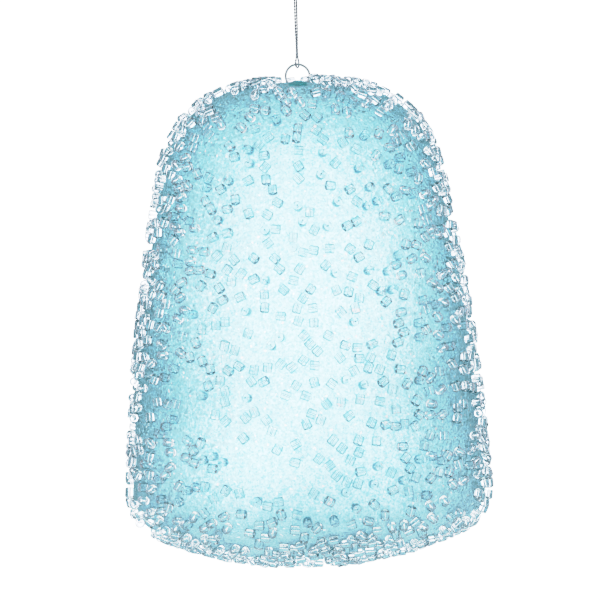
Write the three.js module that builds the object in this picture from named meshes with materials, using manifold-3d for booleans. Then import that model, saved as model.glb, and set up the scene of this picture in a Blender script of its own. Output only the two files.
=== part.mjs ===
// A sugared gumdrop ornament with glass tube beads, a plastic eye peg, a wire ring and a cord.
// Millimetres, +Z up. The origin is the inside top of the cord's open loop, where a hook holds it.
// +X is to the right and -Y faces the viewer.
import * as THREE from "three";
import { mergeVertices } from "three/addons/utils/BufferGeometryUtils.js";
import Module from "manifold-3d";

const wasm = await Module();
wasm.setup();

// Gap left between pieces that touch on the real ornament.
const GAP = 0.3;

// Gumdrop body: an outline of five tangent arcs, from the top centre to the base centre.
const BODY_TOP_Z = -43;
const BODY_HEIGHT = 124;
const DOME_RADIUS = 79;
const SHOULDER_RADIUS = 24.4;
const SHOULDER_CENTRE_X = 11;
const SIDE_RADIUS = 505;
const CORNER_RADIUS = 11.2;
const CORNER_CENTRE_X = 34.4;
const BASE_RADIUS = 98;
const BASE_FLAT_RADIUS = 12;
const COAT_THICKNESS = 1.2;
const COAT_SEGMENTS = 40;
const CORE_GAP = 0.5;
const CORE_SEGMENTS = 32;

// Pocket in the top, which leaves room for the eye and for the ring's foot.
const POCKET_RADIUS = 4.2;
const POCKET_DEPTH = 4;

// Plastic peg: a moulded eye on a flange, and a barbed stem glued into the foam.
const EYE_RADIUS = 1.9;
const EYE_HALF_WIDTH = 1.85;
const EYE_HALF_THICKNESS = 0.75;
const EYE_CENTRE_Z = BODY_TOP_Z - 2.1;
const FLANGE_RADIUS = 3.4;
const FLANGE_TOP_Z = BODY_TOP_Z - 2.7;
const FLANGE_THICKNESS = 1;
const STEM_RADIUS = 1.5;
const BARB_RADIUS = 2.1;
const BARB_COUNT = 4;
const BARB_PITCH = 3.4;

// Wire ring, standing in the plane that faces the viewer.
const RING_OUTER_RADIUS = 3.4;
const RING_WIRE_RADIUS = 0.25;
const RING_TOP_Z = -38;

// Cord: 0.45 mm thick, doubled below the knot and open above it.
const CORD_RADIUS = 0.225;
const KNOT_TOP_Z = -16;
const KNOT_HEIGHT = 3.2;
const KNOT_RADIUS = 1.3;

// From the knot down one strand, round the ring's top wire and up the other strand to the knot.
const STRANDS_ROUTE = [
  [-0.36, 0, -19.5],
  [-0.36, 0, -21],
  [-0.36, -0.04, -24],
  [-0.33, -0.16, -27],
  [-0.28, -0.25, -30],
  [-0.25, -0.28, -33],
  [-0.27, -0.32, -35.4],
  [-0.34, -0.46, -36.7],
  [-0.42, -0.68, -37.6],
  [-0.4, -0.76, -38.25],
  [-0.27, -0.55, -38.82],
  [0, 0, -39.08],
  [0.27, 0.55, -38.82],
  [0.4, 0.76, -38.25],
  [0.42, 0.68, -37.6],
  [0.34, 0.46, -36.7],
  [0.27, 0.32, -35.4],
  [0.25, 0.28, -33],
  [0.28, 0.25, -30],
  [0.33, 0.16, -27],
  [0.36, 0.04, -24],
  [0.36, 0, -21],
  [0.36, 0, -19.5],
];
const STRANDS_STEPS = 56;

// From the knot up, round the place of the hook and down to the knot again.
const LOOP_ROUTE = [
  [-0.36, 0, -15.7],
  [-0.45, 0, -14.6],
  [-0.95, 0, -12.4],
  [-1.8, 0, -9.6],
  [-2.7, 0, -6.6],
  [-3.1, 0, -4],
  [-2.75, 0, -1.7],
  [-1.6, 0, -0.25],
  [0, 0, 0.225],
  [1.6, 0, -0.25],
  [2.75, 0, -1.7],
  [3.1, 0, -4],
  [2.7, 0, -6.6],
  [1.8, 0, -9.6],
  [0.95, 0, -12.4],
  [0.45, 0, -14.6],
  [0.36, 0, -15.7],
];
const LOOP_STEPS = 24;

// Glass tube beads in rows round the coat. A row is given by the share of the coat's area above
// it, by its number of beads and by the angle of its first one about Z. The row of eight is at the
// widest place, just above the corner.
const BEAD_ROWS = [
  [0.02, 3, 0],
  [0.08, 4, 1.1],
  [0.17, 5, 2.2],
  [0.3, 5, 3.3],
  [0.45, 6, 4.4],
  [0.6, 5, 5.5],
  [0.757, 8, 0],
  [0.91, 3, 7.7],
  [0.98, 3, 8.8],
];
const BEAD_RADIUS = 1.2;
const BEAD_HOLE_RADIUS = 0.5;
const BEAD_LENGTH = 2.3;
const BEAD_SIDES = 8;
const BEAD_ON_END_EVERY = 5;
const BEAD_SPIN = 1.7;

const COLOURS = {
  coat: { color: 0xbfe9f2, roughness: 0.85, metalness: 0 },
  foam: { color: 0x9bd3df, roughness: 0.95, metalness: 0 },
  peg: { color: 0x1d8f9d, roughness: 0.25, metalness: 0 },
  ring: { color: 0xc9ccd1, roughness: 0.12, metalness: 1 },
  cord: { color: 0xb4b9c2, roughness: 0.4, metalness: 0.7 },
  bead: { color: 0xdaf3f8, roughness: 0.05, metalness: 0 },
};

function pieceOf(name, geometry, finish) {
  const mesh = new THREE.Mesh(geometry, new THREE.MeshStandardMaterial(finish));
  mesh.name = name;
  return mesh;
}

// A solid of revolution about Z from a profile of [radius, z] points.
function turned(profile, segments) {
  const points = profile.map(([radius, z]) => new THREE.Vector2(radius, z));
  return new THREE.LatheGeometry(points, segments).rotateX(Math.PI / 2);
}

function polygon(radius, sides) {
  const corners = [];
  for (let i = 0; i < sides; i++) {
    const angle = (2 * Math.PI * i) / sides;
    corners.push(new THREE.Vector2(radius * Math.cos(angle), radius * Math.sin(angle)));
  }
  return new THREE.Shape(corners);
}

// A tube of eight sides along a smooth curve through the route's points.
function cordTube(route, steps) {
  const path = new THREE.CatmullRomCurve3(route.map((point) => new THREE.Vector3(...point)));
  return new THREE.ExtrudeGeometry(polygon(CORD_RADIUS, 8), {
    steps,
    extrudePath: path,
    bevelEnabled: false,
  });
}

function solidOf(geometry) {
  const bare = geometry.clone();
  bare.deleteAttribute("normal");
  bare.deleteAttribute("uv");
  const merged = mergeVertices(bare, 1e-4);
  return new wasm.Manifold(
    new wasm.Mesh({
      numProp: 3,
      vertProperties: new Float32Array(merged.attributes.position.array),
      triVerts: new Uint32Array(merged.index.array),
    }),
  );
}

function geometryOf(solid) {
  const mesh = solid.getMesh();
  const geometry = new THREE.BufferGeometry();
  geometry.setAttribute("position", new THREE.BufferAttribute(mesh.vertProperties, 3));
  geometry.setIndex(new THREE.BufferAttribute(mesh.triVerts, 1));
  return geometry;
}

// The centres of the five arcs. Each arc touches the next one, so their centres line up there.
function arcCentres() {
  const dome = new THREE.Vector2(0, BODY_TOP_Z - DOME_RADIUS);
  const base = new THREE.Vector2(0, BODY_TOP_Z - BODY_HEIGHT + BASE_RADIUS);
  const shoulderRise = Math.sqrt((DOME_RADIUS - SHOULDER_RADIUS) ** 2 - SHOULDER_CENTRE_X ** 2);
  const cornerDrop = Math.sqrt((BASE_RADIUS - CORNER_RADIUS) ** 2 - CORNER_CENTRE_X ** 2);
  const shoulder = new THREE.Vector2(SHOULDER_CENTRE_X, dome.y + shoulderRise);
  const corner = new THREE.Vector2(CORNER_CENTRE_X, base.y - cornerDrop);
  const down = corner.clone().sub(shoulder);
  const apart = down.length();
  down.normalize();
  const toShoulder = SIDE_RADIUS - SHOULDER_RADIUS;
  const toCorner = SIDE_RADIUS - CORNER_RADIUS;
  const along = (toShoulder ** 2 - toCorner ** 2 + apart ** 2) / (2 * apart);
  const inward = Math.sqrt(toShoulder ** 2 - along ** 2);
  const side = shoulder
    .clone()
    .addScaledVector(down, along)
    .add(new THREE.Vector2(down.y, -down.x).multiplyScalar(inward));
  return { dome, shoulder, side, corner, base };
}

// The body's outline moved inwards by inset, as [radius, z] points from the top hole to the axis
// at the base. pointsPerArc sets how finely each arc is divided.
function bodyOutline(inset, holeRadius, pointsPerArc) {
  const { dome, shoulder, side, corner, base } = arcCentres();
  const angleOf = (from, to) => Math.atan2(to.y - from.y, to.x - from.x);
  const holeAngle = Math.acos(holeRadius / (DOME_RADIUS - inset));
  const flatAngle = -Math.acos(BASE_FLAT_RADIUS / (BASE_RADIUS - inset));
  const joins = [
    holeAngle,
    angleOf(dome, shoulder),
    angleOf(side, shoulder),
    angleOf(side, corner),
    angleOf(base, corner),
    flatAngle,
  ];
  const arcs = [
    [dome, DOME_RADIUS],
    [shoulder, SHOULDER_RADIUS],
    [side, SIDE_RADIUS],
    [corner, CORNER_RADIUS],
    [base, BASE_RADIUS],
  ];
  const outline = [];
  arcs.forEach(([centre, radius], k) => {
    const count = pointsPerArc[k];
    for (let i = k === 0 ? 0 : 1; i <= count; i++) {
      const angle = joins[k] + ((joins[k + 1] - joins[k]) * i) / count;
      const reach = radius - inset;
      outline.push([centre.x + reach * Math.cos(angle), centre.y + reach * Math.sin(angle)]);
    }
  });
  outline.push([0, outline[outline.length - 1][1]]);
  return outline;
}

function sugarCoat() {
  const outside = bodyOutline(0, POCKET_RADIUS, [3, 6, 5, 6, 3]);
  const inside = bodyOutline(COAT_THICKNESS, POCKET_RADIUS, [3, 5, 4, 5, 3]);
  const profile = [...outside.reverse(), ...inside];
  return pieceOf("sugar_coat", turned(profile, COAT_SEGMENTS), COLOURS.coat);
}

function foamCore() {
  const outside = bodyOutline(COAT_THICKNESS + CORE_GAP, POCKET_RADIUS, [2, 5, 4, 5, 2]);
  const boreRadius = BARB_RADIUS + GAP;
  const floorZ = BODY_TOP_Z - POCKET_DEPTH;
  const boreEndZ = FLANGE_TOP_Z - FLANGE_THICKNESS - (BARB_COUNT + 1) * BARB_PITCH - GAP;
  const profile = [
    ...outside.reverse(),
    [POCKET_RADIUS, floorZ],
    [boreRadius, floorZ],
    [boreRadius, boreEndZ],
    [0, boreEndZ],
  ];
  return pieceOf("foam_core", turned(profile, CORE_SEGMENTS), COLOURS.foam);
}

// The moulded eye is a ring about the X axis whose section is a flattened ellipse.
function pegEye() {
  const section = [];
  const corners = 12;
  for (let i = 0; i <= corners; i++) {
    const angle = (2 * Math.PI * i) / corners;
    section.push([
      EYE_RADIUS + EYE_HALF_THICKNESS * Math.cos(angle),
      EYE_HALF_WIDTH * Math.sin(angle),
    ]);
  }
  return turned(section, 20).rotateY(Math.PI / 2).translate(0, 0, EYE_CENTRE_Z);
}

function pegStem() {
  const shoulderZ = FLANGE_TOP_Z - FLANGE_THICKNESS;
  const outline = [
    [0, FLANGE_TOP_Z],
    [FLANGE_RADIUS, FLANGE_TOP_Z],
    [FLANGE_RADIUS, shoulderZ],
    [STEM_RADIUS, shoulderZ],
  ];
  for (let i = 1; i <= BARB_COUNT; i++) {
    const barbZ = shoulderZ - i * BARB_PITCH;
    outline.push([STEM_RADIUS, barbZ + 0.5]);
    outline.push([BARB_RADIUS, barbZ]);
    outline.push([STEM_RADIUS, barbZ - 1.6]);
  }
  outline.push([0, shoulderZ - (BARB_COUNT + 1) * BARB_PITCH]);
  return turned(outline.reverse(), 20);
}

function hangerPeg() {
  const solid = solidOf(pegStem()).add(solidOf(pegEye()));
  return pieceOf("hanger_peg", geometryOf(solid), COLOURS.peg);
}

function hangingRing() {
  const middleRadius = RING_OUTER_RADIUS - RING_WIRE_RADIUS;
  const ring = pieceOf(
    "hanging_ring",
    new THREE.TorusGeometry(middleRadius, RING_WIRE_RADIUS, 8, 36),
    COLOURS.ring,
  );
  ring.rotation.x = Math.PI / 2;
  ring.position.z = RING_TOP_Z - RING_OUTER_RADIUS;
  return ring;
}

// The overhand knot as one rounded barrel.
function cordKnot() {
  const rings = 6;
  const profile = [];
  for (let i = 0; i <= rings; i++) {
    const angle = -Math.PI / 2 + (Math.PI * i) / rings;
    profile.push([
      i % rings === 0 ? 0 : KNOT_RADIUS * Math.cos(angle),
      KNOT_TOP_Z - KNOT_HEIGHT / 2 + (KNOT_HEIGHT / 2) * Math.sin(angle),
    ]);
  }
  return pieceOf("cord_knot", turned(profile, 12), COLOURS.cord);
}

// The point of the coat's outline below which the given share of its area lies, and the angle
// of its outward normal above the horizontal.
function coatPlace(share) {
  const outline = bodyOutline(0, 0.01, [40, 40, 40, 40, 40]);
  const areas = [0];
  for (let i = 1; i < outline.length; i++) {
    const [r0, z0] = outline[i - 1];
    const [r1, z1] = outline[i];
    areas.push(areas[i - 1] + ((r0 + r1) / 2) * Math.hypot(r1 - r0, z1 - z0));
  }
  const wanted = share * areas[areas.length - 1];
  const k = Math.max(1, areas.findIndex((area) => area >= wanted));
  const part = (wanted - areas[k - 1]) / (areas[k] - areas[k - 1]);
  const [r0, z0] = outline[k - 1];
  const [r1, z1] = outline[k];
  return {
    radius: r0 + (r1 - r0) * part,
    z: z0 + (z1 - z0) * part,
    tilt: Math.atan2(r1 - r0, z0 - z1),
  };
}

// A short tube along Z, centred on its own middle.
function beadTube() {
  const half = BEAD_LENGTH / 2;
  const profile = [
    [BEAD_HOLE_RADIUS, -half],
    [BEAD_RADIUS, -half],
    [BEAD_RADIUS, half],
    [BEAD_HOLE_RADIUS, half],
    [BEAD_HOLE_RADIUS, -half],
  ];
  return turned(profile, BEAD_SIDES);
}

// A bead held off the coat by the gap, lying on its side or standing on its end.
function glassBead(index, share, turn) {
  const { radius, z, tilt } = coatPlace(share);
  const onEnd = index % BEAD_ON_END_EVERY === 2;
  const height = GAP + (onEnd ? BEAD_LENGTH / 2 : BEAD_RADIUS);
  const number = String(index + 1).padStart(2, "0");
  const bead = pieceOf("glass_bead_" + number, beadTube(), COLOURS.bead);
  // The holder's Z axis is the coat's outward normal.
  const holder = new THREE.Group();
  const normal = new THREE.Vector3(Math.cos(tilt), 0, Math.sin(tilt));
  holder.quaternion.setFromUnitVectors(new THREE.Vector3(0, 0, 1), normal);
  holder.position.set(radius, 0, z).addScaledVector(normal, height);
  bead.rotation.set(0, onEnd ? 0 : Math.PI / 2, BEAD_SPIN * index, "ZYX");
  holder.add(bead);
  const arm = new THREE.Group();
  arm.rotation.z = turn;
  arm.add(holder);
  return arm;
}

const ornament = new THREE.Group();
ornament.add(sugarCoat(), foamCore(), hangerPeg(), hangingRing(), cordKnot());
ornament.add(pieceOf("cord_strands", cordTube(STRANDS_ROUTE, STRANDS_STEPS), COLOURS.cord));
ornament.add(pieceOf("cord_loop", cordTube(LOOP_ROUTE, LOOP_STEPS), COLOURS.cord));
let beadIndex = 0;
BEAD_ROWS.forEach(([share, count, first]) => {
  for (let i = 0; i < count; i++) {
    ornament.add(glassBead(beadIndex, share, first + (2 * Math.PI * i) / count));
    beadIndex += 1;
  }
});

export default ornament;
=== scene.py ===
"""Looks of the gumdrop hanging ornament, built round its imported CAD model.

Metres, +Z up; -Y faces the camera.
"""

import math

import bpy
import numpy as np
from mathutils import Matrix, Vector, noise


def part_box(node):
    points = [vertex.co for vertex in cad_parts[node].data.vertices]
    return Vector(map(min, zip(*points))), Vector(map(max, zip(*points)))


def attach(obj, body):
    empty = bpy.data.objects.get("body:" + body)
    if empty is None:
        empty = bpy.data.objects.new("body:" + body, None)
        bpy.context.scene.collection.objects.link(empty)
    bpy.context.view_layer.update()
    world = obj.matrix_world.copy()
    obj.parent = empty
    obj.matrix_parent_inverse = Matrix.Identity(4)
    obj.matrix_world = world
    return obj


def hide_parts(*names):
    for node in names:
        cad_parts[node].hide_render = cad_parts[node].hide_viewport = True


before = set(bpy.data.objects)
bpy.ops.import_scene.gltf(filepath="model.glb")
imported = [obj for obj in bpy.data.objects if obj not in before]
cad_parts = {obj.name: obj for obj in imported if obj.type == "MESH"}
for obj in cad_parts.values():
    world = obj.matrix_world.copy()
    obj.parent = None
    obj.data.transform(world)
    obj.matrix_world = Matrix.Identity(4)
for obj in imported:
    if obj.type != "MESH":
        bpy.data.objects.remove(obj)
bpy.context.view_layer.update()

MM = 0.001


# ---------------------------------------------------------------- camera
COAT_LOW, COAT_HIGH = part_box("sugar_coat")
RING_LOW, RING_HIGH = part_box("hanging_ring")
KNOT_LOW, KNOT_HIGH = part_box("cord_knot")

CAMERA_DISTANCE = 1.2
VIEW_WIDTH = 0.156
SENSOR_WIDTH = 36.0
CAMERA_RIGHT = -0.001
CAMERA_BELOW_RING_TOP = 0.06155
# The ornament hangs slightly out of plumb, top to the left.
CAMERA_ROLL = math.radians(1.6)


def make_camera():
    data = bpy.data.cameras.new("camera")
    data.sensor_width = SENSOR_WIDTH
    data.lens = SENSOR_WIDTH * CAMERA_DISTANCE / VIEW_WIDTH
    data.clip_end = 20
    camera = bpy.data.objects.new("camera", data)
    bpy.context.scene.collection.objects.link(camera)
    height = RING_HIGH.z - CAMERA_BELOW_RING_TOP
    camera.location = (CAMERA_RIGHT, -CAMERA_DISTANCE, height)
    camera.rotation_euler = (math.radians(90), CAMERA_ROLL, 0)
    bpy.context.scene.camera = camera


make_camera()


# ---------------------------------------------------------------- meshes
def mesh_object(name, points, face_sets, smooth=True):
    """A mesh from an array of points and one or more arrays of triangles or of quads."""
    mesh = bpy.data.meshes.new(name)
    faces = [face for face_set in face_sets for face in face_set.tolist()]
    mesh.from_pydata(np.asarray(points, float).tolist(), [], faces)
    mesh.polygons.foreach_set("use_smooth", np.full(len(faces), smooth))
    mesh.update()
    made = bpy.data.objects.new(name, mesh)
    bpy.context.scene.collection.objects.link(made)
    return made


def ring_faces(rings, sides, closed_rings=False):
    """Quads between neighbouring rings of points that are stored ring after ring."""
    last = rings if closed_rings else rings - 1
    ring = np.arange(last)[:, None]
    side = np.arange(sides)[None, :]
    here, there = ring * sides, ((ring + 1) % rings) * sides
    right = (side + 1) % sides
    quads = np.stack([here + side, here + right, there + right, there + side], axis=-1)
    return quads.reshape(-1, 4)


def turned(profile, segments):
    """Points and quads of a surface of revolution about Z from an open profile of (radius, z)."""
    profile = np.array(profile, float)
    angles = np.linspace(0, 2 * math.pi, segments, endpoint=False)
    across = profile[:, 0][:, None]
    points = np.stack(
        [
            across * np.cos(angles),
            across * np.sin(angles),
            np.repeat(profile[:, 1][:, None], segments, 1),
        ],
        axis=-1,
    ).reshape(-1, 3)
    return points, ring_faces(len(profile), segments)


def smooth_curve(points, spacing):
    """Points about spacing apart on the centripetal curve through the given points."""
    p = np.array(points, float)
    p = np.vstack([2 * p[0] - p[1], p, 2 * p[-1] - p[-2]])
    found = []
    for k in range(1, len(p) - 2):
        p0, p1, p2, p3 = p[k - 1 : k + 3]
        pairs = ((p0, p1), (p1, p2), (p2, p3))
        knots = np.cumsum([0, *(np.linalg.norm(b - a) ** 0.5 for a, b in pairs)])
        t0, t1, t2, t3 = knots
        count = max(1, math.ceil(np.linalg.norm(p2 - p1) / spacing))
        t = np.linspace(t1, t2, count, endpoint=False)[:, None]
        a1 = (t1 - t) / (t1 - t0) * p0 + (t - t0) / (t1 - t0) * p1
        a2 = (t2 - t) / (t2 - t1) * p1 + (t - t1) / (t2 - t1) * p2
        a3 = (t3 - t) / (t3 - t2) * p2 + (t - t2) / (t3 - t2) * p3
        b1 = (t2 - t) / (t2 - t0) * a1 + (t - t0) / (t2 - t0) * a2
        b2 = (t3 - t) / (t3 - t1) * a2 + (t - t1) / (t3 - t1) * a3
        found.append((t2 - t) / (t2 - t1) * b1 + (t - t1) / (t2 - t1) * b2)
    found.append(p[-2][None])
    return np.concatenate(found)


def frames_along(line):
    """A tangent and two crossing directions at each point, turning as little as they can."""
    tangent = np.gradient(line, axis=0)
    tangent /= np.linalg.norm(tangent, axis=1)[:, None]
    start = np.array([0.0, 1.0, 0.0])
    if abs(tangent[0] @ start) > 0.9:
        start = np.array([1.0, 0.0, 0.0])
    across = np.zeros_like(line)
    for i, t in enumerate(tangent):
        start = start - (start @ t) * t
        start /= np.linalg.norm(start)
        across[i] = start
    return tangent, across, np.cross(tangent, across)


# ---------------------------------------------------------------- cord
PLY_RADIUS = 0.155 * MM
# The foil is wound round the thread in turns, which show as a row of small swellings.
WINDING_PITCH = 0.83 * MM
WINDING_SWELL = 0.2
PLY_OFFSET = 0.065 * MM
PLY_PITCH = 1.66 * MM
PLY_SIDES = 8
CORD_STEP = 0.12 * MM

# The cord's routes are in millimetres. This one leads from the knot down to the ring: the two
# strands lie against each other, turn slowly about each other, and part round the ring's top wire.
STRAND_ROUTE = [
    (-0.25, 0, -19.5),
    (-0.24, 0, -21),
    (-0.235, 0, -24),
    (-0.235, -0.02, -27),
    (-0.21, -0.12, -29.5),
    (-0.15, -0.2, -31.8),
    (-0.1, -0.24, -34),
    (-0.12, -0.28, -35.5),
    (-0.21, -0.4, -36.7),
    (-0.37, -0.72, -37.5),
    (-0.42, -0.84, -38.2),
    (-0.3, -0.6, -38.86),
]
UNDER_THE_WIRE = (0, 0, -39.14)
OTHER_STRAND = [(-x, -y, z) for x, y, z in reversed(STRAND_ROUTE)]
STRANDS_ROUTE = [*STRAND_ROUTE, UNDER_THE_WIRE, *OTHER_STRAND]

# From the knot up, round the place of the hook and down to the knot again.
LOOP_ROUTE = [
    (-0.36, 0, -15.7),
    (-0.45, 0, -14.6),
    (-0.95, 0, -12.4),
    (-1.8, 0, -9.6),
    (-2.7, 0, -6.6),
    (-3.1, 0, -4),
    (-2.75, 0, -1.7),
    (-1.6, 0, -0.25),
    (0, 0, 0.225),
    (1.6, 0, -0.25),
    (2.75, 0, -1.7),
    (3.1, 0, -4),
    (2.7, 0, -6.6),
    (1.8, 0, -9.6),
    (0.95, 0, -12.4),
    (0.45, 0, -14.6),
    (0.36, 0, -15.7),
]


def twisted_cord(line, turn=0.0):
    """Points and quads of two plies twisted round a line, with rounded ends."""
    along = np.concatenate([[0], np.cumsum(np.linalg.norm(np.diff(line, axis=0), axis=1))])
    _, across, up = frames_along(line)
    size = 1 + WINDING_SWELL * np.cos(2 * math.pi * (along - along[-1] / 2) / WINDING_PITCH)
    size[[0, -1]] = 0.02
    size[[1, -2]] = 0.8
    points, quads = [], []
    for ply in range(2):
        angle = turn + 2 * math.pi * along / PLY_PITCH + math.pi * ply
        out = np.cos(angle)[:, None] * across + np.sin(angle)[:, None] * up
        side = -np.sin(angle)[:, None] * across + np.cos(angle)[:, None] * up
        middle = line + PLY_OFFSET * out
        corner = np.linspace(0, 2 * math.pi, PLY_SIDES, endpoint=False)[None, :, None]
        ring = np.cos(corner) * out[:, None] + np.sin(corner) * side[:, None]
        ring = middle[:, None] + PLY_RADIUS * size[:, None, None] * ring
        quads.append(ring_faces(len(line), PLY_SIDES) + sum(len(p) for p in points))
        points.append(ring.reshape(-1, 3))
    return np.concatenate(points), np.concatenate(quads)


def cord_piece(name, route):
    line = smooth_curve(np.array(route) * MM, CORD_STEP)
    points, quads = twisted_cord(line)
    return mesh_object(name, points, [quads]), line


cord_strands, strands_line = cord_piece("cord_strands_twisted", STRANDS_ROUTE)
cord_loop, loop_line = cord_piece("cord_loop_twisted", LOOP_ROUTE)


def joined(parts):
    """One set of points and quads from several."""
    points = np.concatenate([p for p, _ in parts])
    starts = np.cumsum([0] + [len(p) for p, _ in parts[:-1]])
    return points, np.concatenate([quads + start for start, (_, quads) in zip(starts, parts)])


KNOT_SCALE = 0.34 * MM
KNOT_DEPTH = 0.5 * MM
STRAND_SPREAD = 0.225 * MM
STRAND_TURN = 1.1
TAIL_ROUTES = [
    [(0.25, 0.2, -17.3), (0.75, 0.35, -16.9), (1.25, 0.45, -16.1), (1.55, 0.5, -15.1)],
    [(-0.25, -0.2, -17.4), (-0.8, -0.3, -17.0), (-1.2, -0.5, -16.2), (-1.75, -0.55, -15.5)],
]


def knot_line():
    """The middle of the doubled cord through an overhand knot, from the strands to the loop."""
    middle_z = (KNOT_LOW.z + KNOT_HIGH.z) / 2
    t = np.linspace(-math.pi + 0.35, math.pi - 0.35, 60)
    along = np.sin(t) + 2 * np.sin(2 * t)
    aside = np.cos(t) - 2 * np.cos(2 * t)
    deep = -np.sin(3 * t)
    knot = np.stack(
        [(aside + 0.7) * KNOT_SCALE, deep * KNOT_DEPTH, middle_z - along * KNOT_SCALE], axis=-1
    )
    if knot[0, 2] > knot[-1, 2]:
        knot = knot[::-1]
    below = [(0, 0, -19.7 * MM), (0, 0, -19.2 * MM)]
    above = [(0, 0, -16.0 * MM), (0, 0, -15.5 * MM)]
    return smooth_curve([*below, *knot[::4], *above], CORD_STEP)


def make_knot():
    line = knot_line()
    tangent, _, _ = frames_along(line)
    # In the plane of the knot the two strands lie side by side.
    beside = np.cross(tangent, np.array([0.0, 1.0, 0.0]))
    beside /= np.linalg.norm(beside, axis=1)[:, None]
    parts = [
        twisted_cord(line + side * STRAND_SPREAD * beside, STRAND_TURN * side) for side in (-1, 1)
    ]
    for route in TAIL_ROUTES:
        parts.append(twisted_cord(smooth_curve(np.array(route) * MM, CORD_STEP)))
    points, quads = joined(parts)
    return mesh_object("cord_knot_tied", points, [quads])


cord_knot = make_knot()

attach(cord_strands, "cord")
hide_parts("cord_strands")
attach(cord_loop, "hang_loop")
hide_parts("cord_loop")
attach(cord_knot, "hang_loop")
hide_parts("cord_knot")


# ---------------------------------------------------------------- outline of the body
DOME_RADIUS = 79 * MM
SHOULDER_RADIUS = 24.4 * MM
SHOULDER_CENTRE_X = 11 * MM
SIDE_RADIUS = 505 * MM
CORNER_RADIUS = 11.2 * MM
CORNER_CENTRE_X = 34.4 * MM
BASE_RADIUS = 98 * MM
BASE_FLAT_RADIUS = 12 * MM
BODY_HEIGHT = 124 * MM
POCKET_RADIUS = 4.2 * MM
POCKET_DEPTH = 4 * MM
COAT_THICKNESS = 1.2 * MM
BODY_TOP_Z = -43 * MM


def arc_centres():
    """The centres of the outline's five arcs, each of which touches the next."""
    dome = np.array([0, BODY_TOP_Z - DOME_RADIUS])
    base = np.array([0, BODY_TOP_Z - BODY_HEIGHT + BASE_RADIUS])
    rise = math.sqrt((DOME_RADIUS - SHOULDER_RADIUS) ** 2 - SHOULDER_CENTRE_X**2)
    drop = math.sqrt((BASE_RADIUS - CORNER_RADIUS) ** 2 - CORNER_CENTRE_X**2)
    shoulder = np.array([SHOULDER_CENTRE_X, dome[1] + rise])
    corner = np.array([CORNER_CENTRE_X, base[1] - drop])
    down = corner - shoulder
    apart = np.linalg.norm(down)
    down /= apart
    to_shoulder, to_corner = SIDE_RADIUS - SHOULDER_RADIUS, SIDE_RADIUS - CORNER_RADIUS
    along = (to_shoulder**2 - to_corner**2 + apart**2) / (2 * apart)
    inward = math.sqrt(to_shoulder**2 - along**2)
    side = shoulder + along * down + inward * np.array([down[1], -down[0]])
    return dome, shoulder, side, corner, base


def body_outline(inset, hole_radius, spacing):
    """Points and outward normals, as (radius, z), from the hole's edge to the base's middle."""
    dome, shoulder, side, corner, base = arc_centres()

    def towards(a, b):
        return math.atan2(b[1] - a[1], b[0] - a[0])

    joins = [
        math.acos(hole_radius / (DOME_RADIUS - inset)),
        towards(dome, shoulder),
        towards(side, shoulder),
        towards(side, corner),
        towards(base, corner),
        -math.acos(BASE_FLAT_RADIUS / (BASE_RADIUS - inset)),
    ]
    arcs = [
        (dome, DOME_RADIUS),
        (shoulder, SHOULDER_RADIUS),
        (side, SIDE_RADIUS),
        (corner, CORNER_RADIUS),
        (base, BASE_RADIUS),
    ]
    points, normals = [], []
    for k, (centre, radius) in enumerate(arcs):
        reach = radius - inset
        count = max(2, math.ceil(abs(joins[k + 1] - joins[k]) * reach / spacing))
        angle = np.linspace(joins[k], joins[k + 1], count, endpoint=False)
        out = np.stack([np.cos(angle), np.sin(angle)], axis=-1)
        points.append(centre + reach * out)
        normals.append(out)
    flat_z = base[1] + (BASE_RADIUS - inset) * math.sin(joins[-1])
    count = math.ceil(BASE_FLAT_RADIUS / spacing)
    radius = np.linspace(BASE_FLAT_RADIUS, 0, count)
    points.append(np.stack([radius, np.full(count, flat_z)], axis=-1))
    normals.append(np.tile([0.0, -1.0], (count, 1)))
    return np.concatenate(points), np.concatenate(normals)


# ---------------------------------------------------------------- sugar coat
COAT_SPACING = 0.56 * MM
GRAIN_HEIGHT = 0.085 * MM
SWELL_HEIGHT = 0.16 * MM
SWELL_SCALES = (110, 300)
POINT_JITTER = 0.3
WALL_RINGS = 3


def swell_at(point):
    """The coat's broad unevenness, which has a coarse and a finer part."""
    coarse, fine = (noise.noise(Vector(point) * scale) for scale in SWELL_SCALES)
    return coarse + 0.5 * fine


def zipped(first_count, first_start, second_count, second_start):
    """Triangles between two rings whose points are spread evenly from angle 0."""
    first_turns = (np.arange(first_count) + 0.5) / first_count
    second_turns = (np.arange(second_count) + 0.5) / second_count
    order = np.argsort(np.concatenate([first_turns, second_turns]), kind="stable")
    is_first = order < first_count
    i = np.cumsum(is_first) - is_first
    j = np.cumsum(~is_first) - ~is_first
    a = first_start + i % first_count
    b = second_start + j % second_count
    next_a = first_start + (i + 1) % first_count
    next_b = second_start + (j + 1) % second_count
    return np.stack([a, b, np.where(is_first, next_a, next_b)], axis=-1)


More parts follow.
